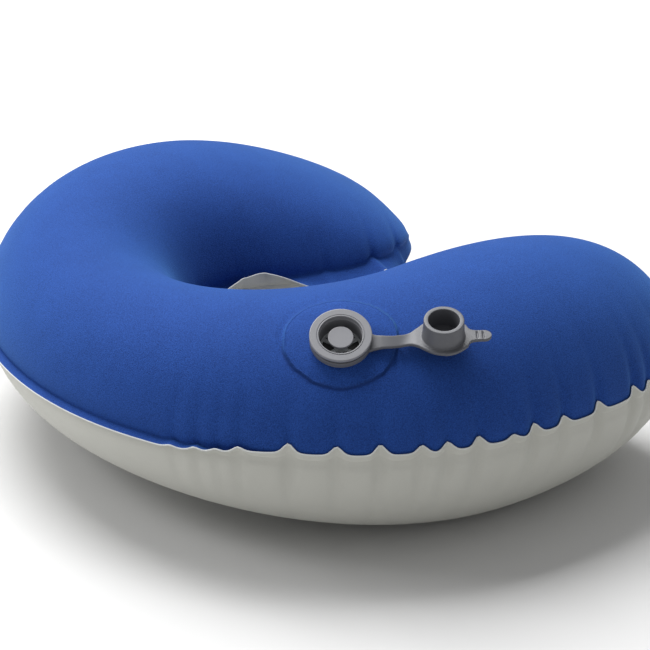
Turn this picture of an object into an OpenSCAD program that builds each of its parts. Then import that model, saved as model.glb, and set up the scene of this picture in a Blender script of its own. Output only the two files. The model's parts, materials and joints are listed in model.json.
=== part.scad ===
// Inflatable U-shaped neck pillow with a push-button air valve.
// It lies flat on z = 0, the back of the neck towards -X, the opening between the arms towards +X.

/* [Pillow] */
// Radius of the arm's centreline round the back of the neck
bend_r = 115; // [95:1:140]
// Angle that each half of the bend turns through
bend_deg = 93; // [85:1:98]
// Length of the fat part of each arm after the bend
arm_len = 43; // [35:1:55]
// Half width of the tube at the back of the neck
back_half_w = 47; // [40:1:54]
// Half width of the arm that carries the valve
near_half_w = 68.5; // [62:0.5:80]
// Half width of the other arm
far_half_w = 76; // [66:0.5:84]
// Length of the rounded tip of each arm
tip_len = 79; // [65:1:95]
// Angle that each arm turns inwards between the bend and its tip
toe_in = 14; // [4:1:20]
// Height of the welded seam above the floor
seam_h = 60; // [54:1:72]
// Height of the crown above the seam, as a share of the half width, at the back
back_crown = 0.975; // [0.85:0.005:1.05]
// The same share in the valve's arm
near_crown = 0.88; // [0.75:0.005:1]
// The same share in the other arm
far_crown = 0.93; // [0.8:0.005:1]
// Depth of the underside below the seam, as a share of the half width, at the back and in the valve's arm
belly = 0.96; // [0.85:0.005:1]
// The same share in the other arm
far_belly = 0.87; // [0.8:0.005:0.95]

/* [Fabric] */
// Thickness of the knit top and of the coated underside
fabric_t = 0.6; // [0.4:0.05:0.8]
// Thickness of each airtight film
film_t = 0.4; // [0.2:0.05:0.5]
// Free space between a film and its fabric
film_gap = 0.3; // [0.3:0.05:0.6]
// Width of the welded flange outside the seam
flange_w = 5; // [3:0.5:8]

/* [Valve] */
// Distance of the valve from the back of the neck, along the centreline
valve_s = 122.5; // [105:0.5:150]
// Angle of the valve round the tube, from the crown towards the outside
valve_round = 34; // [20:1:45]
// Thickness of the top ring
ring_t = 1.6; // [1.2:0.1:2.4]
// Height of the top ring's face above the fabric
ring_h = 6; // [5.6:0.1:8]
// Diameter of the mouth that a pump or a mouth blows into
mouth_d = 19.3; // [18:0.1:20]
// Depth of the mouth, down to just above the button
mouth_depth = 1.8; // [1.2:0.1:2.4]
// Wall of the tube of the pull-out insert
insert_wall = 1.25; // [1.1:0.05:1.5]
// Wall of the neck that the insert sits in
neck_wall = 1; // [0.8:0.05:1.3]
// Radial running clearance of parts that slide or turn
run_gap = 0.1; // [0.05:0.01:0.15]
// Gap between the neck and the hole that is punched for it in the top panel and film
hole_gap = 0.9; // [0.1:0.05:1.2]
// Width of the strap's collar round the neck, which the top ring covers
collar_w = 1.85; // [1.4:0.05:2.6]
// Diameter of the disc that is welded to the film
weld_d = 52; // [44:1:60]
// Diameter of the release button
button_d = 11.3; // [9:0.1:12]
// Travel of the release button
button_travel = 2.2; // [1.5:0.1:2.4]
// Number of spokes in the seat
spokes = 6; // [4:1:8]

/* [Stopper] */
// Distance from the middle of the valve to the middle of the stopper
strap_reach = 45; // [43:0.5:55]
// Turn of the strap round the valve, from the direction straight downhill
strap_turn = 94.5; // [60:0.5:120]
// Twist of the stopper, which lifts its lower side off the fabric
stopper_twist = 12.5; // [0:0.5:15]
// Width of the strap
strap_w = 7.1; // [5:0.1:9]
// Thickness of the strap and of the stopper's disc
strap_t = 1.6; // [1.2:0.1:2]
// Reach of the stopper's disc beyond its plug
disc_over = 2.05; // [1.4:0.05:3]
// Height of the plug above the disc
plug_h = 9.4; // [6:0.1:9.6]
// Amount that the plug's radius shrinks from the disc to its rim
plug_taper = 0.45; // [0.2:0.05:0.8]
// Wall of the plug
plug_wall = 2; // [1.2:0.1:2.4]
// Length of the pull tab beyond the disc
tab_len = 10; // [7:0.5:13]
// Width of the pull tab
tab_w = 6.5; // [5:0.1:8]

/* [Hidden] */
$fn = 96;

// ---- shape of the pillow -------------------------------------------------------------------------------
// A station s runs along the centreline: 0 at the back of the neck, positive into the valve's arm.
bend_len = bend_r * bend_deg * PI / 180;
body_len = bend_len + arm_len;
full_len = body_len + tip_len;
toe_len = arm_len + tip_len;
toe_r = toe_len * 180 / PI / toe_in;
// Bluntness of the tips in plan, and where and how fast each arm's height falls towards its tip
plan_blunt = 0.27;
near_fall_from = 0.78;
near_fall = 0.21;
far_fall_from = 0.28;
far_fall = 0.72;
// Smallest half width and height of a tube, so that its last section stays open
least_w = 1.8;
least_h = 1.6;

function heading(d) = d < bend_len ? d / bend_r * 180 / PI : bend_deg + (d - bend_len) / toe_len * toe_in;
function centre_of(d) = d < bend_len
    ? [-bend_r * cos(heading(d)), -bend_r * sin(heading(d))]
    : [-bend_r * cos(bend_deg) + toe_r * (cos(bend_deg) - cos(heading(d))),
       -bend_r * sin(bend_deg) - toe_r * (sin(heading(d)) - sin(bend_deg))];
function side_of(s) = s < 0 ? -1 : 1;
function centre(s) = [centre_of(abs(s)).x, side_of(s) * centre_of(abs(s)).y];
function outward(s) = [-cos(heading(abs(s))), -side_of(s) * sin(heading(abs(s)))];
function ease(s) = (1 - cos(180 * min(abs(s) / body_len, 1))) / 2;
function mix_at(s, back, near, far) = back + ((s < 0 ? far : near) - back) * ease(s);
function full_w(s) = mix_at(s, back_half_w, near_half_w, far_half_w);
function past(s, from, to) = max(0, min(1, (abs(s) - from) / (to - from)));
function round_off(e, power) = pow(max(1 - e * e, 0), power);
// Half widths of the tube and of the flange round it at a station, then its height above and below the seam
function half_w(s) = full_w(s) * round_off(past(s, body_len, full_len), plan_blunt);
function flange_half_w(s) =
    (full_w(s) + flange_w) * round_off(past(s, body_len, full_len + flange_w * 1.02), plan_blunt);
function short_fall(s) = round_off(past(s, body_len * near_fall_from, full_len), near_fall);
function long_fall(s) = round_off(past(s, body_len * far_fall_from, full_len), far_fall);
function crown(s) = full_w(s) * mix_at(s, back_crown, near_crown, far_crown) * (s < 0 ? long_fall(s) : short_fall(s));
function depth(s) = full_w(s) * mix_at(s, belly, belly, far_belly) * short_fall(s);

// A point beside the centreline, before and after the pillow is moved to stand centred on the origin
function beside(s, lateral) = centre(s) + outward(s) * lateral;
function place(s, lateral, z) = [beside(s, lateral).x - mid_x, beside(s, lateral).y - mid_y, z];
// A point of the skin: station, angle from the crown (or from the lowest line), inset into the pillow
function skin(s, round, up, inset) = place(s,
    max(half_w(s) - inset, least_w - inset) * sin(round),
    up ? seam_h + max(crown(s) - inset, least_h - inset) * cos(round)
       : max(seam_h - max(depth(s) - inset, least_h - inset) * cos(round), inset));

// Stations from the far tip to the near tip, closer together where the tips round off
body_steps = 15;
tip_steps = 8;
half_stations = concat(
    [for (i = [1 : body_steps]) body_len * i / body_steps],
    [for (i = [1 : tip_steps - 1]) body_len + tip_len * sin(90 * i / tip_steps)],
    [full_len, full_len + flange_w]);
last_station = len(half_stations) - 1;
stations = concat([for (i = [last_station : -1 : 0]) -half_stations[i]], [0], half_stations);
rim = [for (s = stations) for (side = [-1, 1]) beside(s, side * (flange_half_w(s) + least_w))];
mid_x = (min([for (p = rim) p.x]) + max([for (p = rim) p.x])) / 2;
mid_y = (min([for (p = rim) p.y]) + max([for (p = rim) p.y])) / 2;
arch_steps = 12;
arch = [for (i = [0 : arch_steps]) -82 + 164 * i / arch_steps];

// One closed loop of a sheet that arches over the tube and lies flat as a flange on both sides of it
function loop(s, up, inset, thick, low, high) =
    let (w = max(half_w(s) - inset, least_w - inset), edge = flange_half_w(s) + least_w, near_z = up ? low : high,
        far_z = up ? high : low)
    concat(
        [place(s, -edge, seam_h + far_z), place(s, -w, seam_h + far_z)],
        [for (r = arch) skin(s, r, up, inset)],
        [place(s, w, seam_h + far_z), place(s, edge, seam_h + far_z), place(s, edge, seam_h + near_z),
         place(s, w - thick, seam_h + near_z)],
        [for (i = [arch_steps : -1 : 0]) skin(s, arch[i], up, inset + thick)],
        [place(s, thick - w, seam_h + near_z), place(s, -edge, seam_h + near_z)]);

// The loops of all the stations joined into one solid. The inner surface's squares are cut along the same diagonal as
// the outer surface's, so that sheets that lie close together do not cross.
module sheet(up, inset, thick, low, high) {
    loops = [for (s = stations) loop(s, up, inset, thick, low, high)];
    m = len(loops[0]);
    last = len(loops) - 1;
    points = [for (l = loops) for (p = l) p];
    side = [for (k = [0 : last - 1]) for (i = [0 : m - 1])
        let (a = k * m + i, b = k * m + (i + 1) % m, c = a + m, d = b + m)
        for (t = i < m / 2 ? [[a, b, c], [b, d, c]] : [[a, b, d], [a, d, c]]) up ? t : [t[2], t[1], t[0]]];
    first_cap = [for (i = [0 : m - 1]) up ? m - 1 - i : i];
    last_cap = [for (i = [0 : m - 1]) last * m + (up ? i : m - 1 - i)];
    polyhedron(points, concat(side, [first_cap, last_cap]), convexity = 10);
}

// ---- place of the valve --------------------------------------------------------------------------------
valve_at = skin(valve_s, valve_round, true, 0);
along_skin = skin(valve_s + 1, valve_round, true, 0) - skin(valve_s - 1, valve_round, true, 0);
round_skin = skin(valve_s, valve_round + 1, true, 0) - skin(valve_s, valve_round - 1, true, 0);
square_out = cross(round_skin, along_skin);
valve_normal = square_out / norm(square_out) * sign(square_out.z);
valve_tilt = acos(valve_normal.z);
valve_heading = atan2(valve_normal.y, valve_normal.x);

// The valve's own frame: z out of the fabric, x along the strap
module on_valve() {
    translate(valve_at) rotate([0, valve_tilt, valve_heading]) rotate([0, 0, strap_turn]) children();
}

// ---- valve dimensions that follow from the driving ones ------------------------------------------------
mouth_r = mouth_d / 2;
bore_r = mouth_r - 0.2;
insert_r = bore_r + insert_wall;
neck_in_r = insert_r + run_gap;
neck_r = neck_in_r + neck_wall;
collar_gap = 0.15;
ring_r = neck_r + collar_gap + collar_w;
foot_t = 0.5;
foot_r = ring_r - 0.4;
groove_h = 0.9;
ring_low = ring_h - ring_t;
collar_low = foot_t + run_gap;
collar_high = ring_low - groove_h;
lip_r = neck_r + 0.6;
lip_low = collar_high + run_gap;
lip_high = ring_low - 0.15;
lid_gap = 0.3;
plug_room = 0.9;
seat_t = 0.8;
shelf_t = 0.8;
seat_high = ring_h + lid_gap - plug_h - plug_room;
seat_low = seat_high - seat_t;
insert_low = seat_low - shelf_t;
shelf_r = bore_r - 0.85;
neck_low = insert_low - 1.9;
button_top = ring_h - mouth_depth - 0.2;
button_t = 1.3;
stem_r = 1.2;
boss_r = 2.4;
hub_r = 3;
hub_h = 0.4;
flap_r = shelf_r - 0.3;
flap_t = 0.7;
flap_high = seat_low - 0.05;
seal_wire_r = 0.45;
seal_r = neck_in_r - seal_wire_r - 0.05;
seal_at = -1.5;
weld_t = 1;
weld_room = 2.1;
weld_top = -fabric_t - film_gap - film_t - weld_room;
weld_curve_r = near_half_w * 0.7;

// ---- stopper dimensions that follow --------------------------------------------------------------------
strap_mid = (collar_low + collar_high) / 2;
plug_r = bore_r - 0.15;
disc_r = plug_r + disc_over;
link_len = ring_h + lid_gap + strap_t / 2 - strap_mid;
fold_1 = (strap_reach - link_len) / 2;
fold_2 = fold_1 + link_len;
fold_gap = strap_t / 2 + 0.3;
twist_at = fold_2 + (strap_reach - disc_r - fold_2) * 0.46;
twist_gap = 0.3;
web_end = ring_r + (fold_1 - ring_r) * 0.65;
web_w = strap_w * 1.7;

// Outline of a sheet of the strap that widens smoothly from w0 at x0 to w1 at x1
function flare(x0, w0, x1, w1) = let (steps = 10) concat(
    [for (i = [0 : steps]) [x0 + (x1 - x0) * i / steps, (w0 + (w1 - w0) * (1 - cos(180 * i / steps)) / 2) / 2]],
    [for (i = [steps : -1 : 0]) [x0 + (x1 - x0) * i / steps, -(w0 + (w1 - w0) * (1 - cos(180 * i / steps)) / 2) / 2]]);
module strap_sheet(points) {
    translate([0, 0, strap_mid - strap_t / 2]) linear_extrude(strap_t) polygon(points);
}

// ---- soft parts ----------------------------------------------------------------------------------------
module top_panel() {
    color("royalblue") difference() {
        sheet(true, 0, fabric_t, film_t, film_t + fabric_t);
        on_valve() translate([0, 0, neck_low]) cylinder(r = neck_r + hole_gap, h = 2 * ring_h - neck_low);
    }
}
module bottom_panel() {
    color("darkgray") sheet(false, 0, fabric_t, -film_t - fabric_t, -film_t);
}
module top_liner() {
    color("gainsboro") difference() {
        sheet(true, fabric_t + film_gap, film_t, 0, film_t);
        on_valve() translate([0, 0, neck_low]) cylinder(r = neck_r + hole_gap, h = 2 * ring_h - neck_low);
    }
}
module bottom_liner() {
    color("gainsboro") sheet(false, fabric_t + film_gap, film_t, -film_t, 0);
}

// ---- valve ---------------------------------------------------------------------------------------------
// Weld disc, neck, foot on the fabric and the lip that keeps the collar on, in one moulding
module valve_base() {
    weld_r = weld_d / 2;
    function weld_z(r) = weld_top + sqrt(pow(weld_curve_r, 2) - r * r) - sqrt(pow(weld_curve_r, 2) - neck_r * neck_r);
    weld_steps = 8;
    weld_line = [for (i = [0 : weld_steps]) neck_r + (weld_r - neck_r) * i / weld_steps];
    color("silver") on_valve() rotate_extrude() polygon(concat(
        [[neck_in_r, neck_low], [neck_r, neck_low]],
        [for (r = weld_line) [r, weld_z(r) - weld_t]],
        [for (i = [weld_steps : -1 : 0]) [weld_line[i], weld_z(weld_line[i])]],
        [[neck_r, 0], [foot_r, 0], [foot_r, foot_t], [neck_r, foot_t], [neck_r, lip_low], [lip_r, lip_low],
         [neck_r, lip_high], [neck_in_r, lip_high]]));
}
// Top ring and the tube below it, which pull out together to empty the pillow at once
module valve_insert() {
    edge = 0.35;
    seal_cut = seal_wire_r + 0.05;
    color("lightgray") on_valve() rotate_extrude() polygon([
        [shelf_r, insert_low], [insert_r, insert_low], [insert_r, seal_at - seal_cut],
        [seal_r - seal_cut, seal_at - seal_cut], [seal_r - seal_cut, seal_at + seal_cut],
        [insert_r, seal_at + seal_cut], [insert_r, ring_low], [ring_r - edge, ring_low], [ring_r, ring_low + edge],
        [ring_r, ring_h - edge], [ring_r - edge, ring_h], [mouth_r, ring_h], [mouth_r, ring_h - mouth_depth],
        [bore_r, ring_h - mouth_depth], [bore_r, seat_low], [shelf_r, seat_low]]);
}
// Rubber ring in the insert's groove
module seal_ring() {
    color("dimgray") on_valve() translate([0, 0, seal_at]) rotate_extrude() translate([seal_r, 0])
        circle(r = seal_wire_r, $fn = 24);
}
// Clear spoked seat that guides the button's stem
module check_seat() {
    rim_r = bore_r - 0.05;
    rim_w = 1.1;
    spoke_w = 1.6;
    color("whitesmoke") on_valve() translate([0, 0, seat_low]) difference() {
        union() {
            difference() {
                cylinder(r = rim_r, h = seat_t);
                translate([0, 0, -1]) cylinder(r = rim_r - rim_w, h = seat_t + 2);
            }
            cylinder(r = hub_r, h = seat_t + hub_h);
            for (i = [0 : spokes - 1]) rotate([0, 0, (i + 0.5) * 360 / spokes])
                translate([0, -spoke_w / 2, 0]) cube([rim_r - rim_w / 2, spoke_w, seat_t]);
        }
        translate([0, 0, -1]) cylinder(r = stem_r + run_gap, h = seat_t + hub_h + 2);
    }
}
// One-way flap, held under the seat by the stem
module flap_membrane() {
    color("slategray") on_valve() translate([0, 0, flap_high - flap_t]) difference() {
        cylinder(r = flap_r, h = flap_t);
        translate([0, 0, -1]) cylinder(r = stem_r, h = flap_t + 2);
    }
}
// Button, its stem and the barb that holds the flap
module release_button() {
    boss_low = seat_high + hub_h + button_travel + 0.2;
    barb_high = flap_high - flap_t;
    button_r = button_d / 2;
    edge = 0.25;
    color("lightgray") on_valve() rotate_extrude() polygon([
        [0, barb_high - 1.4], [0.7, barb_high - 1.4], [2, barb_high - 0.5], [2, barb_high], [stem_r, barb_high],
        [stem_r, boss_low], [boss_r, boss_low], [boss_r, button_top - button_t],
        [button_r - edge, button_top - button_t], [button_r, button_top - button_t + edge],
        [button_r, button_top - edge], [button_r - edge, button_top], [0, button_top]]);
}

// ---- stopper and its strap, one soft moulding that bends at two folds and twists at one -------------------
module strap_collar() {
    collar_in_r = neck_r + collar_gap;
    edge = 0.3;
    color("gray") on_valve() difference() {
        union() {
            rotate_extrude() polygon([[collar_in_r, collar_low], [ring_r, collar_low], [ring_r, collar_high - edge],
                [ring_r - edge, collar_high], [collar_in_r, collar_high]]);
            strap_sheet(flare(ring_r - 1.2, web_w, web_end, strap_w));
            strap_sheet([[web_end - 0.2, -strap_w / 2], [fold_1, -strap_w / 2], [fold_1, strap_w / 2],
                [web_end - 0.2, strap_w / 2]]);
        }
        cylinder(r = collar_in_r, h = 4 * ring_h, center = true);
    }
}
module strap_link() {
    color("gray") on_valve() strap_sheet([[fold_1 + fold_gap, -strap_w / 2], [fold_2, -strap_w / 2],
        [fold_2, strap_w / 2], [fold_1 + fold_gap, strap_w / 2]]);
}
module strap_end() {
    color("gray") on_valve() strap_sheet([[fold_2 + fold_gap, -strap_w / 2], [twist_at, -strap_w / 2],
        [twist_at, strap_w / 2], [fold_2 + fold_gap, strap_w / 2]]);
}
// Disc, hollow plug and pull tab
module stopper_cap() {
    neck_from = twist_at + twist_gap;
    tab_end = strap_reach + disc_r + tab_len;
    plug_low = strap_mid + strap_t / 2;
    rim = 0.4;
    slot_w = 0.9;
    slot_deep = 0.7;
    color("gray") on_valve() translate([0, 0, strap_mid]) rotate([-stopper_twist, 0, 0]) translate([0, 0, -strap_mid])
    difference() {
        union() {
            translate([strap_reach, 0, strap_mid - strap_t / 2]) cylinder(r = disc_r, h = strap_t);
            strap_sheet(flare(neck_from, strap_w, strap_reach - disc_r * 0.7, disc_r * 1.3));
            strap_sheet(flare(strap_reach + disc_r * 0.8, disc_r * 1.1, strap_reach + disc_r + 2.5, tab_w));
            strap_sheet([[strap_reach + disc_r, -tab_w / 2], [tab_end - tab_w / 2, -tab_w / 2],
                [tab_end - tab_w / 2, tab_w / 2], [strap_reach + disc_r, tab_w / 2]]);
            translate([tab_end - tab_w / 2, 0, strap_mid - strap_t / 2]) cylinder(d = tab_w, h = strap_t);
            translate([strap_reach, 0, 0]) rotate_extrude() polygon([[plug_r - plug_wall - 1, plug_low - 0.2],
                [plug_r, plug_low - 0.2], [plug_r, plug_low], [plug_r - plug_taper, plug_low + plug_h - rim],
                [plug_r - plug_taper - rim, plug_low + plug_h], [plug_r - plug_wall - plug_taper, plug_low + plug_h],
                [plug_r - plug_wall - plug_taper, plug_low]]);
        }
        for (i = [0, 1]) translate([strap_reach + disc_r + 3.2 + 2.6 * i, -tab_w / 3, plug_low - slot_deep])
            cube([slot_w, tab_w * 2 / 3, strap_t]);
    }
}

top_panel();
bottom_panel();
top_liner();
bottom_liner();
valve_base();
valve_insert();
seal_ring();
check_seat();
flap_membrane();
release_button();
strap_collar();
strap_link();
strap_end();
stopper_cap();
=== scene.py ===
"""Looks of the inflatable neck pillow: soft skins, valve, strap and stopper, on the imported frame."""

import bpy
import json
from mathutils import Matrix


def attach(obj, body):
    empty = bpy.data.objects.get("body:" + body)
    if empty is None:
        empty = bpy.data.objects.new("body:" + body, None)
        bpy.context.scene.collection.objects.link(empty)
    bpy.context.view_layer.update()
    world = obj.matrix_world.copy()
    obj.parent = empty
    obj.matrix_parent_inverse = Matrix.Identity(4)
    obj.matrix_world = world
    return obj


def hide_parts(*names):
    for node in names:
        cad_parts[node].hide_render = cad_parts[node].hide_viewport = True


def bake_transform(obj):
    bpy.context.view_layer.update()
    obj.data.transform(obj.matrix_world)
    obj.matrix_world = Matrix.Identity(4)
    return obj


bl_info = {
    "name": "Inflatable neck pillow",
    "version": (1, 0, 0),
    "blender": (4, 5, 0),
    "location": "3D View > Sidebar > Pillow",
    "description": "Builds the skins, valve, strap and stopper of an inflatable neck pillow",
    "category": "Object",
}

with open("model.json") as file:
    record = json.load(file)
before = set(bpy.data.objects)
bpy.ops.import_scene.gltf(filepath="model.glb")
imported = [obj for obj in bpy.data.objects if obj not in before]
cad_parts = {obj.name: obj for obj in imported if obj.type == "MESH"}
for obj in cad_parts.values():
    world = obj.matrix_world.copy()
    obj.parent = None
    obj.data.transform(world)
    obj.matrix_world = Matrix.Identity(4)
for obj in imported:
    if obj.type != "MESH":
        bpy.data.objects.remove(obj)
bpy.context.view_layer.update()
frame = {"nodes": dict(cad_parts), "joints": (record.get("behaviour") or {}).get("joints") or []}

import json
import math

import bmesh
import bpy
import numpy as np
from bpy.props import FloatProperty, IntProperty, PointerProperty
from bpy.types import Operator, Panel, PropertyGroup
from mathutils import Matrix, Vector

# ---- shape of the pillow, in metres: the same curves as the frame's panels ---------------------------------
BEND_R, BEND, ARM_LEN, TIP_LEN, TOE = 0.115, math.radians(93), 0.043, 0.079, math.radians(14)
BACK_W, NEAR_W, FAR_W = 0.047, 0.0685, 0.076
SEAM_H = 0.060
BACK_CROWN, NEAR_CROWN, FAR_CROWN = 0.975, 0.88, 0.93
BELLY, FAR_BELLY = 0.96, 0.87
VALVE_S, VALVE_ROUND = 0.1225, math.radians(34)
BEND_LEN = BEND_R * BEND
BODY_LEN = BEND_LEN + ARM_LEN
FULL_LEN = BODY_LEN + TIP_LEN
TOE_LEN = ARM_LEN + TIP_LEN
TOE_R = TOE_LEN / TOE
PLAN_BLUNT = 0.27


def heading(d):
    return np.where(d < BEND_LEN, d / BEND_R, BEND + (d - BEND_LEN) / TOE_LEN * TOE)


def raw_centre(s):
    """Points of the centreline; s is positive in the valve's arm."""
    d, side = np.abs(s), np.where(s < 0, -1.0, 1.0)
    h = heading(d)
    in_bend, c, k = d < BEND_LEN, math.cos(BEND), math.sin(BEND)
    x = np.where(in_bend, -BEND_R * np.cos(h), -BEND_R * c + TOE_R * (c - np.cos(h)))
    y = np.where(in_bend, -BEND_R * np.sin(h), -BEND_R * k - TOE_R * (np.sin(h) - k))
    return np.stack([x, side * y], -1)


def outward(s):
    h, side = heading(np.abs(s)), np.where(s < 0, -1.0, 1.0)
    return np.stack([-np.cos(h), -side * np.sin(h)], -1)


def mix_at(s, back, near, far):
    ease = (1 - np.cos(math.pi * np.minimum(np.abs(s) / BODY_LEN, 1))) / 2
    return back + (np.where(s < 0, far, near) - back) * ease


def round_off(s, start, power):
    e = np.clip((np.abs(s) - start) / (FULL_LEN - start), 0, 1)
    return np.maximum(1 - e * e, 0) ** power


def full_w(s):
    return mix_at(s, BACK_W, NEAR_W, FAR_W)


def half_w(s):
    return full_w(s) * round_off(s, BODY_LEN, PLAN_BLUNT)


def crown(s):
    fall = np.where(s < 0, round_off(s, BODY_LEN * 0.28, 0.72), round_off(s, BODY_LEN * 0.78, 0.21))
    return full_w(s) * mix_at(s, BACK_CROWN, NEAR_CROWN, FAR_CROWN) * fall


def depth(s):
    return full_w(s) * mix_at(s, BELLY, BELLY, FAR_BELLY) * round_off(s, BODY_LEN * 0.78, 0.21)


def raw_skin(s, round_, up):
    """Points of the inflated tube: station, angle from the crown or from the lowest line."""
    flat = raw_centre(s) + outward(s) * (half_w(s) * np.sin(round_))[..., None]
    low = SEAM_H - depth(s) * np.cos(round_)
    z = SEAM_H + crown(s) * np.cos(round_) if up else (low + np.sqrt(low * low + 0.003**2)) / 2
    return np.concatenate([flat, z[..., None]], -1)


# ---- the valve's own frame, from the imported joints: z out of the fabric, x along the strap -----------------
JOINTS = {j["name"]: j for j in frame["joints"]}
VALVE_AT = np.array(JOINTS["collar_turn"]["pos_m"])
VALVE_Z = np.array(JOINTS["collar_turn"]["axis"])
VALVE_Y = np.array(JOINTS["strap_fold_1"]["axis"])
VALVE_X = np.cross(VALVE_Y, VALVE_Z)
FOLD_1, FOLD_2, TWIST = [float((np.array(JOINTS[n]["pos_m"]) - VALVE_AT) @ VALVE_X)
                         for n in ("strap_fold_1", "strap_fold_2", "stopper_twist")]
DISC_TILT = -math.radians(12.5)  # of the stopper's disc about the strap, past the strap's twist
STRAP_MID = float((np.array(JOINTS["strap_fold_1"]["pos_m"]) - VALVE_AT) @ VALVE_Z)
OFFSET = np.append((VALVE_AT - raw_skin(np.array(VALVE_S), np.array(VALVE_ROUND), True))[:2], 0)


def on_valve(points):
    """Points of the valve's frame, in the row frame."""
    points = np.asarray(points, float)
    return VALVE_AT + points[:, :1] * VALVE_X + points[:, 1:2] * VALVE_Y + points[:, 2:3] * VALVE_Z


# ---- meshes ------------------------------------------------------------------------------------------------
def new_mesh(name, points, faces, smooth=True):
    mesh = bpy.data.meshes.new(name)
    mesh.from_pydata(np.asarray(points).tolist(), [], [tuple(map(int, f)) for f in faces])
    mesh.validate()
    mesh.polygons.foreach_set("use_smooth", [smooth] * len(mesh.polygons))
    mesh.update()
    obj = bpy.data.objects.new(name, mesh)
    bpy.context.scene.collection.objects.link(obj)
    return obj


def set_material(obj, material):
    obj.data.materials.clear()
    obj.data.materials.append(material)


def grid_faces(rows, columns, wrap_rows=False, wrap_columns=False, flip=False):
    """Quads of a grid whose points run row by row."""
    i = np.arange(rows if wrap_rows else rows - 1)[:, None]
    j = np.arange(columns if wrap_columns else columns - 1)[None, :]
    i2, j2 = (i + 1) % rows, (j + 1) % columns
    corners = (i * columns + j, i2 * columns + j, i2 * columns + j2, i * columns + j2)
    quads = [a.ravel() for a in np.broadcast_arrays(*corners)]
    return np.stack(quads[::-1] if flip else quads, 1)


def arc(x, z, radius, start, end, steps=5):
    """Points of a profile's rounded corner about (x, z), between two angles in degrees."""
    return [(x + radius * math.cos(math.radians(a)), z + radius * math.sin(math.radians(a)))
            for a in np.linspace(start, end, steps)]


def lathe(name, profile, at=(0, 0, 0), turn=None, segments=160):
    """A closed profile, in millimetres anticlockwise with x as the radius, turned about the valve's z."""
    profile = np.array(profile) / 1000
    angle = np.linspace(0, 2 * math.pi, segments, endpoint=False)
    radius, height = profile[None, :, 0], np.broadcast_to(profile[:, 1], (segments, len(profile)))
    points = np.stack([radius * np.cos(angle)[:, None], radius * np.sin(angle)[:, None], height], -1).reshape(-1, 3)
    if turn is not None:
        points = points @ turn.T
    points = points + np.array(at) / 1000
    obj = new_mesh(name, on_valve(points), grid_faces(segments, len(profile), True, True))
    sharpen(obj, 34)
    return obj


def sharpen(obj, degrees):
    """Marks the edges that turn more than an angle as sharp, so that flat faces stay flat."""
    obj.data.set_sharp_from_angle(angle=math.radians(degrees))


# ---- shader graphs -----------------------------------------------------------------------------------------
class Value:
    """A number in a shader graph; sums of it make Math nodes."""

    def __init__(self, graph, socket):
        self.graph, self.socket = graph, socket

    def do(self, operation, other=None, swapped=False):
        first, second = (other, self) if swapped else (self, other)
        return self.graph.make("ShaderNodeMath", {"operation": operation}, {0: first, 1: second})["Value"]

    def __add__(self, other): return self.do("ADD", other)
    def __radd__(self, other): return self.do("ADD", other)
    def __sub__(self, other): return self.do("SUBTRACT", other)
    def __rsub__(self, other): return self.do("SUBTRACT", other, True)
    def __mul__(self, other): return self.do("MULTIPLY", other)
    def __rmul__(self, other): return self.do("MULTIPLY", other)
    def __truediv__(self, other): return self.do("DIVIDE", other)
    def __pow__(self, other): return self.do("POWER", other)

    def bell(self, centre, width):
        """1 at a centre, falling to 0 over a width on each side of it."""
        away = (self - centre).do("ABSOLUTE") / width
        return (1.0 - away).do("MAXIMUM", 0.0) ** 2.0


class Graph:
    """A material's node tree."""

    def __init__(self, name, color, roughness, **constants):
        self.material = bpy.data.materials.new(name)
        self.material.use_nodes = True
        self.material.diffuse_color = (*color, 1)
        self.tree = self.material.node_tree
        self.shader = self.tree.nodes["Principled BSDF"]
        self.shader.inputs["Base Color"].default_value = (*color, 1)
        self.shader.inputs["Roughness"].default_value = roughness
        for key, value in constants.items():
            self.shader.inputs[key.replace("_", " ")].default_value = value

    def make(self, kind, settings=None, values=None):
        """A node with its settings and its input values or links; returns its outputs by name."""
        node = self.tree.nodes.new(kind)
        for key, value in (settings or {}).items():
            setattr(node, key, value)
        for key, value in (values or {}).items():
            if isinstance(value, Value):
                self.tree.links.new(value.socket, node.inputs[key])
            elif value is not None:
                node.inputs[key].default_value = value
        return {o.name: Value(self, o) for o in node.outputs}

    def feed(self, name, value):
        self.tree.links.new(value.socket, self.shader.inputs[name])

    def position(self):
        return self.make("ShaderNodeTexCoord")["Object"]

    def noise(self, scale, detail=2.0, roughness=0.5):
        return self.make("ShaderNodeTexNoise", None, {"Vector": self.position(), "Scale": scale,
                                                      "Detail": detail, "Roughness": roughness})["Fac"]

    def mix_color(self, factor, first, second):
        node = self.tree.nodes.new("ShaderNodeMix")
        node.data_type = "RGBA"
        for index, value in ((0, factor), (6, first), (7, second)):
            if isinstance(value, Value):
                self.tree.links.new(value.socket, node.inputs[index])
            else:
                node.inputs[index].default_value = value
        return Value(self, node.outputs[2])

    def bump(self, height, distance):
        values = {"Height": height, "Distance": distance, "Strength": 1.0}
        return self.make("ShaderNodeBump", None, values)["Normal"]

    def valve_place(self):
        """A point's distances from the valve's axis, along the strap and across it."""
        local = self.make("ShaderNodeVectorMath", {"operation": "SUBTRACT"},
                          {0: self.position(), 1: tuple(VALVE_AT)})["Vector"]
        dot = {"operation": "DOT_PRODUCT"}
        return [self.make("ShaderNodeVectorMath", dot, {0: local, 1: tuple(axis)})["Value"]
                for axis in (VALVE_X, VALVE_Y)]


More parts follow.
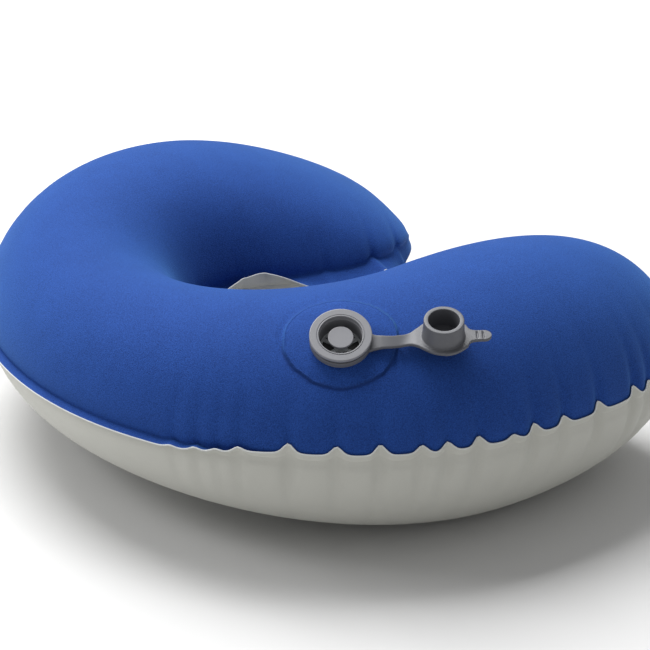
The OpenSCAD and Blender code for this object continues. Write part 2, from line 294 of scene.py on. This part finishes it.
def knit_material():
    g = Graph("knit", (0.011, 0.052, 0.25), 0.85, Sheen_Weight=0.3, Sheen_Roughness=0.45,
              Sheen_Tint=(0.14, 0.45, 1.0, 1), Specular_IOR_Level=0.2)
    fine = g.noise(2100, 2, 0.5)
    broad = g.noise(60, 2, 0.5)
    shade = (fine - 0.5) * 2.2 + (broad - 0.5) * 0.3 + 0.5
    x, y = g.valve_place()
    wobble = g.noise(70, 1) * 0.0026 - 0.0013
    uphill = y - 0.0025
    ring_at = (x * x + (uphill * 1.075) ** 2.0).do("SQRT") + wobble
    shadow = ring_at.bell(0.0260, 0.0017) * (uphill * -70 + 0.15).do("MAXIMUM", 0.0).do("MINIMUM", 1.0)
    dark, light = (0.004, 0.027, 0.155, 1), (0.0175, 0.075, 0.345, 1)
    g.feed("Base Color", g.mix_color(shade - shadow * 0.9, dark, light))
    step = ((0.0263 - ring_at) * 900).do("MAXIMUM", 0.0).do("MINIMUM", 1.0)
    ring = step * 1.1 + ring_at.bell(0.0250, 0.0010) * 0.5
    g.feed("Normal", g.bump(fine * 0.35 + ring * 1.6, 0.00045))
    return g.material


def coated_material():
    g = Graph("coated_fabric", (0.40, 0.40, 0.37), 0.6, Sheen_Weight=0.08, Specular_IOR_Level=0.35)
    fine = g.noise(1700, 2, 0.6)
    broad = g.noise(45, 2, 0.5)
    g.feed("Base Color", g.mix_color(fine * 0.5 + broad * 0.5, (0.46, 0.46, 0.42, 1), (0.54, 0.54, 0.495, 1)))
    g.feed("Normal", g.bump(fine, 0.00008))
    return g.material


def plastic_material(name, color, roughness, bump=0.00002, **constants):
    g = Graph(name, color, roughness, **constants)
    grain = g.noise(2600, 2, 0.6)
    g.feed("Roughness", grain * 0.12 + (roughness - 0.06))
    g.feed("Normal", g.bump(grain, bump))
    return g.material


# ---- properties --------------------------------------------------------------------------------------------
def length(name, description, default, low=0.0, high=1.0):
    return FloatProperty(name=name, description=description, default=default, min=low, max=high,
                         unit="LENGTH", subtype="DISTANCE", precision=4)


class PillowSkinProps(PropertyGroup):
    station_step: length("Station step", "Spacing of the skin's rows along the centreline", 0.0009)
    columns: IntProperty(name="Columns", description="Points across each half of the tube", default=65, min=17)
    flange: length("Flange width", "Width of the welded flange outside the seam", 0.0046)
    flange_half: length("Half flange thickness", "Half the thickness of the pressed flange", 0.0003)
    pleat_spacing: length("Pleat spacing", "Mean distance between the pleats of the seam", 0.0175)
    puff: length("Puff", "How far the panels bulge over the seam", 0.0014)


class PillowValveProps(PropertyGroup):
    segments: IntProperty(name="Segments", description="Sides of the turned parts", default=160, min=24)


class PillowStrapProps(PropertyGroup):
    width: length("Strap width", "Width of the strap between its fillets", 0.0059)
    thickness: length("Thickness", "Thickness of the strap and the stopper's disc", 0.0016)
    sway: length("Sway", "Rise of the strap's gentle curve", 0.0004)
    bow: length("Bow", "Sideways bow of the soft strap between the ring and the stopper", 0.0023)


class PillowStageProps(PropertyGroup):
    azimuth: FloatProperty(name="Azimuth", description="Camera's turn round the pillow", default=math.radians(-35.7),
                           subtype="ANGLE", unit="ROTATION")
    elevation: FloatProperty(name="Elevation", description="Camera's height angle", default=math.radians(23.65),
                             subtype="ANGLE", unit="ROTATION")
    roll: FloatProperty(name="Roll", description="Camera's roll", default=math.radians(1.22),
                        subtype="ANGLE", unit="ROTATION")
    distance: length("Distance", "Camera's distance from the point it looks at", 0.8722, 0.0, 10.0)


# ---- skins -------------------------------------------------------------------------------------------------
def stations(step):
    """Stations from the far tip to the valve's tip, closer together where the tips round off."""
    body = np.linspace(0, BODY_LEN, int(BODY_LEN / step))
    early = BODY_LEN + TIP_LEN * np.linspace(0, 0.8, int(TIP_LEN * 0.8 / step))[1:]
    blunt = np.linspace((1 - 0.64) ** PLAN_BLUNT, 0, 44)[1:]
    late = BODY_LEN + TIP_LEN * np.sqrt(1 - blunt ** (1 / PLAN_BLUNT))
    half = np.concatenate([body, early, late])
    return np.concatenate([-half[:0:-1], half])


def smooth_step(x, low, high):
    t = np.clip((x - low) / (high - low), 0, 1)
    return t * t * (3 - 2 * t)


# Stations of the pleats beside the valve and their sizes, on the outer side of the valve's arm; then on the
# inner side of the other arm. Elsewhere the pleats fall at random.
NEAR_PLEATS = ((0.070, 0.35), (0.078, 0.4), (0.0845, 0.2), (0.0912, 0.45), (0.106, 0.95), (0.120, 0.8),
               (0.1325, 1), (0.1445, 0.7), (0.152, 0.8), (0.1615, 0.95), (0.1725, 0.35), (0.180, 1),
               (0.1925, 0.8), (0.2125, 1), (0.235, 1))
PLEAT_CLEAR = 0.012  # run of seam beside the placed pleats that the random ones keep off
PLEAT_END = 0.004  # run of seam at each end without a pleat
PLEAT_WIDTH = 0.0030
FAR_PLEATS = ((-0.227, 0.5), (-0.265, 0.9), (-0.288, 1))


def pleats(s, run, given, spacing, seed):
    """For each point of a run of seam, how high the pleats' peaks and how deep the sags between them are."""
    rng = np.random.default_rng(seed)
    given_run = [(float(np.interp(at, s, run)), size) for at, size in given]
    clear = min(given_run)[0] - PLEAT_CLEAR, max(given_run)[0] + PLEAT_CLEAR
    at = run[0] + np.cumsum(spacing * (1 + 0.3 * rng.uniform(-1, 1, int((run[-1] - run[0]) / spacing * 1.5))))
    size = 0.6 + 0.4 * rng.uniform(0, 1, len(at))
    loose = [(a, z) for a, z in zip(at, size)
             if not clear[0] < a < clear[1] and run[0] + PLEAT_END < a < run[-1] - PLEAT_END]
    peaks = sorted(given_run + loose)
    place, size = np.array([a for a, _ in peaks]), np.array([z for _, z in peaks])
    away = np.abs(run[:, None] - place[None, :])
    height = (size[None, :] * np.exp(-((away / PLEAT_WIDTH) ** 2))).max(1)
    k = np.clip(np.searchsorted(place, run) - 1, 0, len(place) - 2)
    u = np.clip(2 * (run - place[k]) / (place[k + 1] - place[k]) - 1, -1, 1)
    return height, 1 - u * u


HOLE_R = 0.0124  # of the hole in the top skin, under the strap's collar


class Skins:
    """The two inflated panels and the welded flange between them."""

    def __init__(self, props):
        self.p = props
        self.s = stations(props.station_step)
        self.n = len(self.s)
        self.round = np.radians(np.linspace(-90, 90, props.columns))
        self.lay_seam()

    def lay_seam(self):
        """Runs of seam on the outer (+1) and inner (-1) side, with their pleats and the lie of the flange."""
        self.seam = {}
        s, p = self.s, self.p
        for side in (1, -1):
            flat = raw_centre(s) + outward(s) * (side * half_w(s))[:, None]
            run = np.concatenate([[0], np.cumsum(np.linalg.norm(np.diff(flat, axis=0), axis=1))])
            given, spacing = (NEAR_PLEATS, p.pleat_spacing) if side > 0 else (FAR_PLEATS, p.pleat_spacing * 1.4)
            peak, sag = pleats(s, run, given, spacing, 7)
            if side > 0:
                # The back lies smooth, the rest of the outside is gathered, and the flange stands up
                # beside the valve
                gather = smooth_step(s, 0.060, 0.069) + smooth_step(-s, 0.05, 0.11) * 0.8
                lie = -20 + 84 * smooth_step(s, 0.060, 0.108) - 44 * smooth_step(s, 0.280, 0.306) \
                    - 40 * smooth_step(-s, 0.16, 0.24) - 8 * smooth_step(-s, 0.290, 0.306)
                width = p.flange * (1 - 0.4 * smooth_step(-s, 0.24, 0.275)
                                    + 1.1 * smooth_step(-s, 0.292, 0.308))
                curl = np.zeros(self.n)
            else:
                # The inner flange is wide in the far arm: it hangs down, and its edge curls up at one place
                gather = 0.15 + 0.85 * smooth_step(np.abs(s), 0.21, 0.25)
                far = smooth_step(-s, 0.05, 0.12) * (1 - 0.6 * smooth_step(-s, 0.285, 0.302))
                rolled = np.clip((-s - 0.032) / 0.138, 0, 1) * (1 - smooth_step(-s, 0.174, 0.224))
                lie = -8 - 18 * far + 2 * rolled \
                    - 53 * smooth_step(-s, 0.270, 0.296) + 28 * smooth_step(s, 0.280, 0.306)
                width = p.flange + 0.0080 * far + 0.0010 * rolled
                curl = 124 * rolled
            self.seam[side] = dict(flat=flat, run=run, peak=peak, sag=sag, gather=gather, lie=np.radians(lie),
                                   width=width, curl=np.radians(curl))

    def arch(self, up):
        """Points of one panel, row by row, before its seam detail."""
        s, r = np.meshgrid(self.s, self.round, indexing="ij")
        return raw_skin(s, r, up) + OFFSET

    def detailed(self, up):
        """Points of one panel with puff, pleats and the seam's rise and fall."""
        p = self.p
        s, r = np.meshgrid(self.s, self.round, indexing="ij")
        points = self.arch(up)
        side = np.where(r >= 0, 1, -1)
        pick = lambda key: np.where(side > 0, self.seam[1][key][:, None], self.seam[-1][key][:, None])
        peak, sag, gather = pick("peak"), pick("sag"), pick("gather")
        w = half_w(s)
        high = crown(s) if up else depth(s)
        t = (math.pi / 2 - np.abs(r)) * (w + high) / 2
        fade = smooth_step(w, 0.0, 0.03)
        out = np.concatenate([outward(s) * (side * np.abs(np.sin(r)))[..., None],
                              (np.cos(r) * (1 if up else -1))[..., None]], -1)
        puff = p.puff * (1 - 0.6 * peak * gather) * (t / 0.006) * np.exp(1 - t / 0.006)
        swell = sag * gather * 0.0005 * np.exp(-t / 0.02)
        deep, reach = (0.0012, 0.020) if up else (0.0019, 0.020)
        if up:
            late = smooth_step(s, 0.10, 0.24) * (s > 0) + (s <= 0) * 0.5
            edge = smooth_step(s, 0.096, 0.118) * (s > 0) + (s <= 0)
            crease = late * deep * np.exp(-((t / reach) ** 1.3))
            cut = peak * gather * (0.0018 * edge * np.exp(-t / 0.007) + crease)
        else:
            cut = peak * gather * deep * np.exp(-((t / reach) ** 1.3)) * np.minimum(1, t / 0.004 + 0.55)
        points = points + out * ((puff + swell - cut) * fade)[..., None]
        points[..., 2] += (peak * 0.0016 - sag * 0.0005) * gather * np.exp(-t / 0.006) * fade
        return points

    def valve_patch(self, points, normals):
        """Presses the welded disc's edge and its small puckers into the skin round the valve."""
        local = points - VALVE_AT
        x, y, z = [(local @ a) for a in (VALVE_X, VALVE_Y, VALVE_Z)]
        r, angle = np.hypot(x, (y - 0.0025) * 1.075), np.arctan2(y, x)
        here = (np.abs(z) < 0.03) & (r < 0.05)
        press = 0.0005 * (1 - smooth_step(r, 0.0246, 0.0262))
        press = press - 0.0004 * np.exp(-(((r - 0.0266) / 0.0014) ** 2))
        fan = np.exp(-((angle / 0.8) ** 2)) * np.exp(-(((r - 0.0265) / 0.0035) ** 2))
        press = press + 0.0006 * fan * np.sin(angle * 15 + 40 * r / 0.026)
        return points + normals * (press * here)[..., None]

    def flange(self, up):
        """Loops of points across the flange, from the seam outwards, for one layer."""
        p = self.p
        order = [(1, np.arange(self.n)), (-1, np.arange(self.n - 2, 0, -1))]
        gather = lambda key: np.concatenate([self.seam[side][key][i] for side, i in order])
        keys = ("peak", "sag", "gather", "lie", "width", "curl")
        peak, sag, pull, lie, width, curl = [gather(k) for k in keys]
        skin = self.panel[up]
        seam = np.concatenate([skin[i, -1 if side > 0 else 0] for side, i in order])
        tangent = np.roll(self.seam_flat, -2, 0) - np.roll(self.seam_flat, 2, 0)
        tangent /= np.linalg.norm(tangent, axis=1)[:, None]
        normal = np.stack([tangent[:, 1], -tangent[:, 0]], 1)
        kernel = np.hanning(9) / np.hanning(9).sum()
        ring = np.concatenate([normal[-4:], normal, normal[:4]])
        normal = np.stack([np.convolve(ring[:, c], kernel, "valid") for c in (0, 1)], 1)
        normal /= np.linalg.norm(normal, axis=1)[:, None]
        lie = lie + np.radians(10) * peak * pull
        width = width + (0.0015 * peak - 0.0004 * sag) * pull
        rows, at, steps = [], seam.copy(), 10
        for k in range(1, steps + 1):
            f = (k - 0.5) / steps
            bend = lie + curl * smooth_step(f, 0.15, 0.75)
            along = np.concatenate([normal * np.cos(bend)[:, None], np.sin(bend)[:, None]], 1)
            at = at + along * (width / steps)[:, None]
            thick = np.concatenate([-normal * np.sin(bend)[:, None], np.cos(bend)[:, None]], 1)
            rows.append(at + thick * (p.flange_half * (1 if up else -1) * min(1, f * 4)))
        return rows

    def build(self, material_top, material_bottom):
        self.seam_flat = np.concatenate([self.seam[1]["flat"], self.seam[-1]["flat"][-2:0:-1]])
        self.panel = {}
        m = len(self.round)
        for up in (True, False):
            points = self.detailed(up)
            if up:
                du = np.gradient(points, axis=0)
                dv = np.gradient(points, axis=1)
                normal = np.cross(dv, du)
                normal /= np.maximum(np.linalg.norm(normal, axis=-1), 1e-12)[..., None]
                normal *= np.sign(normal[..., 2:3] + 1e-9)
                points = self.valve_patch(points, normal)
            self.panel[up] = points
        meet = (self.panel[True] + self.panel[False]) / 2
        for up in (True, False):
            for j in (0, -1):
                self.panel[up][:, j] = meet[:, j]
            self.panel[up][0, :] = meet[0, 0]
            self.panel[up][-1, :] = meet[-1, 0]
        objects, self.edge = [], None
        for up, name, material in ((True, "top_skin", material_top), (False, "bottom_skin", material_bottom)):
            points = self.panel[up].reshape(-1, 3)
            faces = grid_faces(self.n, m, flip=up)
            loop_seam = np.concatenate([np.arange(self.n) * m + m - 1, np.arange(self.n - 2, 0, -1) * m])
            rows = self.flange(up)
            count = len(loop_seam)
            base = len(points)
            outer = base + np.arange(len(rows) * count).reshape(len(rows), count)
            index = np.concatenate([loop_seam[None], outer])
            a, b = index[:-1], index[1:]
            quads = np.stack([a, np.roll(a, -1, 1), np.roll(b, -1, 1), b], -1).reshape(-1, 4)
            faces = np.concatenate([faces, quads if not up else quads[:, ::-1]])
            points = np.concatenate([points] + rows)
            if up:
                keep, points = self.open_for_valve(points, faces)
                faces = faces[keep]
            obj = new_mesh(name, points, faces)
            self.tidy(obj, up)
            set_material(obj, material)
            objects.append(obj)
            self.edge = rows[-1] if self.edge is None else (self.edge + rows[-1]) / 2
        return objects

    def open_for_valve(self, points, faces):
        """Faces to keep outside the valve's neck, and the points with the hole's rim drawn to a circle."""
        local = points - VALVE_AT
        x, y, z = [(local @ a) for a in (VALVE_X, VALVE_Y, VALVE_Z)]
        r = np.hypot(x, y)
        inside = (r < HOLE_R) & (np.abs(z) < 0.02)
        keep = ~inside[faces].all(axis=1)
        rim = np.intersect1d(np.unique(faces[keep]), np.unique(faces[~keep])) if (~keep).any() else []
        points = points.copy()
        for i in rim:
            rim_at = (VALVE_X * x[i] + VALVE_Y * y[i]) / r[i] * HOLE_R
            points[i] = VALVE_AT + rim_at + VALVE_Z * z[i]
        return keep, points

    def tidy(self, obj, up):
        """Merges the points that meet at the tips and turns the faces outwards."""
        bm = bmesh.new()
        bm.from_mesh(obj.data)
        bmesh.ops.remove_doubles(bm, verts=bm.verts, dist=1e-6)
        loose = [v for v in bm.verts if not v.link_faces]
        bmesh.ops.delete(bm, geom=loose, context="VERTS")
        bmesh.ops.dissolve_degenerate(bm, edges=bm.edges, dist=1e-7)
        total = sum(f.normal.z * f.calc_area() for f in bm.faces)
        if (total > 0) != up:
            bmesh.ops.reverse_faces(bm, faces=bm.faces)
        for f in bm.faces:
            f.smooth = True
        bm.to_mesh(obj.data)
        bm.free()


class PILLOW_OT_skins(Operator):
    """Build the two inflated panels with their welded flange"""
    bl_idname = "pillow.skins"
    bl_label = "Skins"

    def execute(self, context):
        skins = Skins(context.scene.pillow_skins)
        top, bottom = skins.build(knit_material(), coated_material())
        edge = new_mesh("cut_edge", skins.edge, [])
        n = len(skins.edge)
        edge.data.edges.add(n)
        edge.data.edges.foreach_set("vertices", np.stack([np.arange(n), (np.arange(n) + 1) % n], 1).ravel())
        edge.data.update()
        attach(top, "pillow")
        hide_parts("top_panel", "top_liner")
        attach(bottom, "pillow")
        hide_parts("bottom_panel", "bottom_liner")
        return {"FINISHED"}


class PILLOW_OT_cut_edge(Operator):
    """Draw the pale cut edge along the flange"""
    bl_idname = "pillow.cut_edge"
    bl_label = "Cut edge"

    def execute(self, context):
        obj = bpy.data.objects.get("cut_edge")
        if obj is None:
            raise RuntimeError("the skins come before the cut edge")
        pale = plastic_material("cut_edge", (0.60, 0.62, 0.62), 0.6)
        tree = bpy.data.node_groups.new("edge cord", "GeometryNodeTree")
        interface = tree.interface
        interface.new_socket("Line", in_out="INPUT", socket_type="NodeSocketGeometry")
        thick = interface.new_socket("Radius", in_out="INPUT", socket_type="NodeSocketFloat")
        finish = interface.new_socket("Material", in_out="INPUT", socket_type="NodeSocketMaterial")
        interface.new_socket("Cord", in_out="OUTPUT", socket_type="NodeSocketGeometry")
        made = {k: tree.nodes.new(t) for k, t in {
            "in": "NodeGroupInput", "line": "GeometryNodeMeshToCurve", "ring": "GeometryNodeCurvePrimitiveCircle",
            "sweep": "GeometryNodeCurveToMesh", "smooth": "GeometryNodeSetShadeSmooth",
            "plain": "GeometryNodeRealizeInstances", "paint": "GeometryNodeSetMaterial", "out": "NodeGroupOutput"}.items()}
        made["ring"].inputs["Resolution"].default_value = 8
        for a, i, b, j in (("in", "Line", "line", "Mesh"), ("in", "Radius", "ring", "Radius"),
                           ("line", "Curve", "sweep", "Curve"), ("ring", "Curve", "sweep", "Profile Curve"),
                           ("sweep", "Mesh", "smooth", "Geometry"), ("smooth", "Geometry", "plain", "Geometry"),
                           ("plain", "Geometry", "paint", "Geometry"), ("in", "Material", "paint", "Material"),
                           ("paint", "Geometry", "out", "Cord")):
            tree.links.new(made[a].outputs[i], made[b].inputs[j])
        modifier = obj.modifiers.new("cord", "NODES")
        modifier.node_group = tree
        modifier[thick.identifier] = context.scene.pillow_skins.flange_half + 0.00005
        modifier[finish.identifier] = pale
        shaped = obj.evaluated_get(context.evaluated_depsgraph_get())
        mesh = bpy.data.meshes.new_from_object(shaped)
        obj.modifiers.clear()
        obj.data = mesh
        if len(mesh.polygons) < 100:
            raise RuntimeError("the cut edge came out empty")
        set_material(obj, pale)
        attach(obj, "pillow")
        return {"FINISHED"}


# ---- valve -------------------------------------------------------------------------------------------------
class PILLOW_OT_valve(Operator):
    """Build the valve's ring, neck, seat, button, flap and seal"""
    bl_idname = "pillow.valve"
    bl_label = "Valve"

    def execute(self, context):
        segments = context.scene.pillow_valve.segments
        satin = plastic_material("valve_plastic", (0.20, 0.203, 0.222), 0.36, Specular_IOR_Level=0.55)
        clear = Graph("clear_plastic", (0.75, 0.78, 0.8), 0.08, Specular_IOR_Level=0.6, Alpha=0.55).material
        rubber = plastic_material("seal_rubber", (0.02, 0.02, 0.022), 0.5)
        # Insert: outside of the tube, underside of the ring, rounded rim, raised lip round the mouth, bore, shelf
        ring = lathe("valve_ring", [
            (8.6, -5.6), (10.7, -5.6), (10.7, -2.0), (10.1, -2.0), (10.1, -1.0), (10.7, -1.0), (10.7, 4.4),
            *arc(13.4, 4.75, 0.35, -90, 0), *arc(13.35, 5.55, 0.45, 0, 90, 6), (13.3, 6.0),
            (10.75, 6.0), (10.55, 5.8), (10.35, 5.78),
            *arc(10.15, 5.86, 0.18, 0, 90, 4), *arc(9.9, 5.84, 0.2, 90, 180, 4),
            (9.65, 4.2), (9.45, 4.1), (9.45, -4.8), (8.6, -4.8)], segments=segments)
        base = lathe("valve_neck", [
            (10.8, -7.5), (11.8, -7.5), (11.8, -3.2), (16, -3.9), (25.6, -10.6), (25.8, -10.2), (16, -3.0),
            (11.8, -2.3), (11.8, 0.02), *arc(13.1, 0.15, 0.3, -60, 60), (11.8, 0.5), (11.8, 3.6), (12.4, 3.6),
            (11.8, 4.25), (10.8, 4.25)], segments=segments)
        button = lathe("valve_button", [
            (0.001, -6.95), (0.7, -6.95), (2, -6.05), (2, -5.55), (1.2, -5.55), (1.2, -1.2), (2.4, -1.2),
            (2.4, 2.7), *arc(5.3, 3.05, 0.35, -90, 0, 4), *arc(5.35, 3.7, 0.3, 0, 90, 5), (5.3, 4.0),
            (0.6, 4.0), (0.001, 4.0)], segments=segments)
        for obj, nodes, material, body, slot in (
                (ring, ("valve_insert",), satin, "insert", "valve_plastic"),
                (base, ("valve_base",), satin, "pillow", "valve_plastic"),
                (button, ("release_button",), satin, "button", "valve_plastic")):
            set_material(obj, material)
            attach(obj, body)
            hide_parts(*nodes)
        for name, material in (("check_seat", clear), ("flap_membrane", rubber), ("seal_ring", rubber)):
            node = frame["nodes"][name]
            set_material(node, material)
            node.data.polygons.foreach_set("use_smooth", [True] * len(node.data.polygons))
            sharpen(node, 30)
        return {"FINISHED"}


# ---- strap and stopper -------------------------------------------------------------------------------------
class PILLOW_OT_strap(Operator):
    """Build the strap from its collar to its pull tab, with the stopper on it"""
    bl_idname = "pillow.strap"
    bl_label = "Strap and stopper"

    REACH, DISC_R, RING_R, TAB_END, TAB_W = 0.045, 0.01135, 0.0138, 0.0662, 0.0062

    def outline(self, x, width):
        """Half width of the strap's outline at a distance from the valve."""
        x = np.asarray(x, float)
        straight = np.full_like(x, width / 2)
        root = 0.0024 * np.exp(-np.maximum(x - 0.0120, 0) / 0.0030)
        disc = np.sqrt(np.maximum(self.DISC_R**2 - (x - self.REACH) ** 2, 0))
        wing = 0.0030 * np.exp(-(((x - self.REACH + self.DISC_R - 0.0012) / 0.0034) ** 2))
        past = np.maximum(x - self.REACH - self.DISC_R + 0.0008, 0)
        tab = np.where(x > self.REACH, self.TAB_W / 2 + 0.0032 * np.exp(-past / 0.0011), 0)
        nose = np.maximum(self.TAB_END - x, 0)
        cap = self.TAB_W / 2
        blunt = np.sqrt(np.maximum(cap**2 - np.maximum(cap - nose, 0) ** 2, 0)) / cap
        arm = np.where(x < self.REACH, straight + root + wing, tab * blunt)
        sharp = 4
        arm, disc = np.maximum(arm, 1e-6), np.maximum(disc, 1e-6)
        return np.maximum((arm**sharp + disc**sharp) ** (1 / sharp), 0.00004)

    def ribbon(self, name, start, end, props, close=(True, True)):
        """A length of the strap with rounded edges, between two distances from the valve."""
        x = np.linspace(start, end, max(6, int((end - start) / 0.00028)))
        if close[1]:
            u = np.linspace(0, 1, 26)
            nose = end - self.TAB_W / 2
            x = np.concatenate([x[x < nose], nose + self.TAB_W / 2 * np.sin(u * math.pi / 2)])
        half = self.outline(x, props.width)
        t = props.thickness / 2
        corner = np.minimum(0.00045, half)
        rows = []
        for i in range(len(x)):
            c, h = corner[i], half[i]
            row = []
            for sy, sz, first in ((1, 1, 0), (-1, 1, 90), (-1, -1, 180), (1, -1, 270)):
                for a in np.radians(np.linspace(first, first + 90, 5)):
                    y = sy * (h - c) + c * math.cos(a)
                    z = sz * (t - c * 0.9) + c * 0.9 * math.sin(a)
                    row.append((y, z))
                if (sy, sz) in ((1, 1), (-1, -1)):
                    for q in np.linspace(0, 1, 12)[1:-1]:
                        row.append((sy * (h - c) * (1 - 2 * q), sz * t))
            rows.append(row)
        rows = np.array(rows)
        # Two short grip grooves across the tab
        top = rows[..., 1] > t * 0.6
        for at in (self.REACH + self.DISC_R + 0.0032, self.REACH + self.DISC_R + 0.0058):
            dip = 0.0006 * np.exp(-(((x - at - 0.0004) / 0.00042) ** 4))
            inside = np.exp(-((np.abs(rows[..., 0]) / 0.0021) ** 8))
            rows[..., 1] -= dip[:, None] * top * inside
        free = self.REACH - self.DISC_R - self.RING_R
        sway = props.sway * np.sin((x - self.RING_R) / free * 2 * math.pi) \
            * smooth_step(x, 0.0138, 0.018) * (1 - smooth_step(x, 0.030, 0.034))
        bow = -props.bow * smooth_step(x, 0.0, 0.017) * (1 - smooth_step(x, 0.020, 0.037))
        twist = DISC_TILT * smooth_step(x, TWIST - 0.004, TWIST + 0.004)
        y = rows[..., 0] * np.cos(twist)[:, None] - rows[..., 1] * np.sin(twist)[:, None]
        z = rows[..., 0] * np.sin(twist)[:, None] + rows[..., 1] * np.cos(twist)[:, None]
        along = np.broadcast_to(x[:, None], y.shape)
        points = np.stack([along, y + bow[:, None], z + sway[:, None] + STRAP_MID], -1)
        n, m = y.shape
        faces = [tuple(f) for f in grid_faces(n, m, False, True)]
        if close[0]:
            faces.append(tuple(range(m)))
        if close[1]:
            faces.append(tuple(range((n - 1) * m, n * m))[::-1])
        obj = new_mesh(name, on_valve(points.reshape(-1, 3)), faces)
        sharpen(obj, 60)
        return obj

    def execute(self, context):
        props = context.scene.pillow_strap
        segments = context.scene.pillow_valve.segments
        soft = plastic_material("strap_plastic", (0.098, 0.101, 0.114), 0.42, Specular_IOR_Level=0.4)
        collar = lathe("strap_ring", [
            (11.95, 0.6), *arc(13.5, 0.9, 0.3, -90, 0, 4), *arc(13.3, 3.0, 0.5, 0, 90, 6), (11.95, 3.5)],
            segments=segments)
        set_material(collar, soft)
        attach(collar, "collar")
        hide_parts("strap_collar")
        mid_link, mid_end = (FOLD_1 + FOLD_2) / 2, (FOLD_2 + TWIST) / 2
        cuts = (("strap_root", 0.0121, mid_link, "collar", "link", FOLD_1, 0.0013, (True, False), ()),
                ("strap_middle", mid_link, mid_end, "link", "end", FOLD_2, 0.0013, (False, False),
                 ("strap_link", "strap_end")),
                ("stopper_arm", mid_end, self.TAB_END, "end", "stopper", TWIST, 0.0013, (False, True), ()))
        for name, start, end, a, b, fold, spread, close, nodes in cuts:
            obj = self.ribbon(name, start, end, props, close)
            set_material(obj, soft)
            tuple(on_valve([(fold - spread, 0, STRAP_MID)])[0])
            tuple(on_valve([(fold + spread, 0, STRAP_MID)])[0])
            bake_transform(obj)
            if nodes:
                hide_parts(*nodes)
        tilt = DISC_TILT
        turn = np.array([[1, 0, 0], [0, math.cos(tilt), -math.sin(tilt)], [0, math.sin(tilt), math.cos(tilt)]])
        low = props.thickness * 500
        plug = lathe("stopper_plug", [
            (6.85, low - 0.3), (9.4, low - 0.3), *arc(9.9, low + 0.55, 0.55, -90, -180, 5),
            *arc(8.5, low + 9.05, 0.35, 0, 90, 5), *arc(7.15, low + 9.1, 0.3, 90, 180, 5)],
            at=(45, 0, STRAP_MID * 1000), turn=turn, segments=segments)
        set_material(plug, soft)
        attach(plug, "stopper")
        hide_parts("stopper_cap")
        return {"FINISHED"}


# ---- stage -------------------------------------------------------------------------------------------------
class PILLOW_OT_stage(Operator):
    """Set the floor, the lights and the camera"""
    bl_idname = "pillow.stage"
    bl_label = "Stage"

    def light(self, name, at, aim, size, power):
        data = bpy.data.lights.new(name, "AREA")
        data.energy, data.size = power, size
        obj = bpy.data.objects.new(name, data)
        bpy.context.scene.collection.objects.link(obj)
        obj.location = at
        obj.rotation_euler = (Vector(aim) - Vector(at)).to_track_quat("-Z", "Y").to_euler()
        return obj

    def execute(self, context):
        props = context.scene.pillow_stage
        scene = context.scene
        floor = new_mesh("floor", [(-6, -6, 0), (6, -6, 0), (6, 6, 0), (-6, 6, 0)], [(0, 1, 2, 3)], False)
        set_material(floor, Graph("floor", (0.66, 0.66, 0.66), 0.85).material)
        world = bpy.data.worlds.new("studio")
        world.use_nodes = True
        world.node_tree.nodes["Background"].inputs["Color"].default_value = (1, 1, 1, 1)
        world.node_tree.nodes["Background"].inputs["Strength"].default_value = 0.38
        scene.world = world
        self.light("top", (0.1, 1.2, 2.2), (0, 0, 0.06), 1.8, 98)
        self.light("key", (-1.9, 1.5, 1.8), (0, 0, 0.06), 1.1, 27)
        a, e, roll = props.azimuth, props.elevation, props.roll
        back = Vector((math.sin(a) * math.cos(e), -math.cos(a) * math.cos(e), math.sin(e)))
        right = (-back).cross(Vector((0, 0, 1))).normalized()
        up = right.cross(-back)
        x = right * math.cos(roll) + up * math.sin(roll)
        y = up * math.cos(roll) - right * math.sin(roll)
        data = bpy.data.cameras.new("camera")
        data.lens, data.sensor_width = 93.49, 36.0
        camera = bpy.data.objects.new("camera", data)
        scene.collection.objects.link(camera)
        matrix = Matrix((x, y, back)).transposed().to_4x4()
        matrix.translation = Vector((0.00848, -0.02961, 0.05955)) + back * props.distance
        camera.matrix_world = matrix
        scene.camera = camera
        scene.view_settings.view_transform = "Standard"
        scene.view_settings.look = "None"
        return {"FINISHED"}


class PILLOW_PT_panel(Panel):
    """Lists the pieces of the pillow"""
    bl_idname = "PILLOW_PT_panel"
    bl_label = "Neck pillow"
    bl_space_type = "VIEW_3D"
    bl_region_type = "UI"
    bl_category = "Pillow"

    def draw(self, context):
        for operator in OPERATORS:
            self.layout.operator(operator.bl_idname)
        for group in GROUPS:
            box = self.layout.box()
            for key in GROUPS[group].__annotations__:
                box.prop(getattr(context.scene, group), key)


GROUPS = {"pillow_skins": PillowSkinProps, "pillow_valve": PillowValveProps, "pillow_strap": PillowStrapProps,
          "pillow_stage": PillowStageProps}
OPERATORS = (PILLOW_OT_skins, PILLOW_OT_cut_edge, PILLOW_OT_valve, PILLOW_OT_strap, PILLOW_OT_stage)
CLASSES = (*GROUPS.values(), *OPERATORS, PILLOW_PT_panel)


def register():
    for cls in CLASSES:
        bpy.utils.register_class(cls)
    for name, cls in GROUPS.items():
        setattr(bpy.types.Scene, name, PointerProperty(type=cls))


def unregister():
    for name in GROUPS:
        delattr(bpy.types.Scene, name)
    for cls in reversed(CLASSES):
        bpy.utils.unregister_class(cls)


def main():
    register()
    for call in (bpy.ops.pillow.skins, bpy.ops.pillow.cut_edge, bpy.ops.pillow.valve, bpy.ops.pillow.strap,
                 bpy.ops.pillow.stage):
        if call() != {"FINISHED"}:
            raise RuntimeError("a piece was not built")


if __name__ == "__main__":
    main()
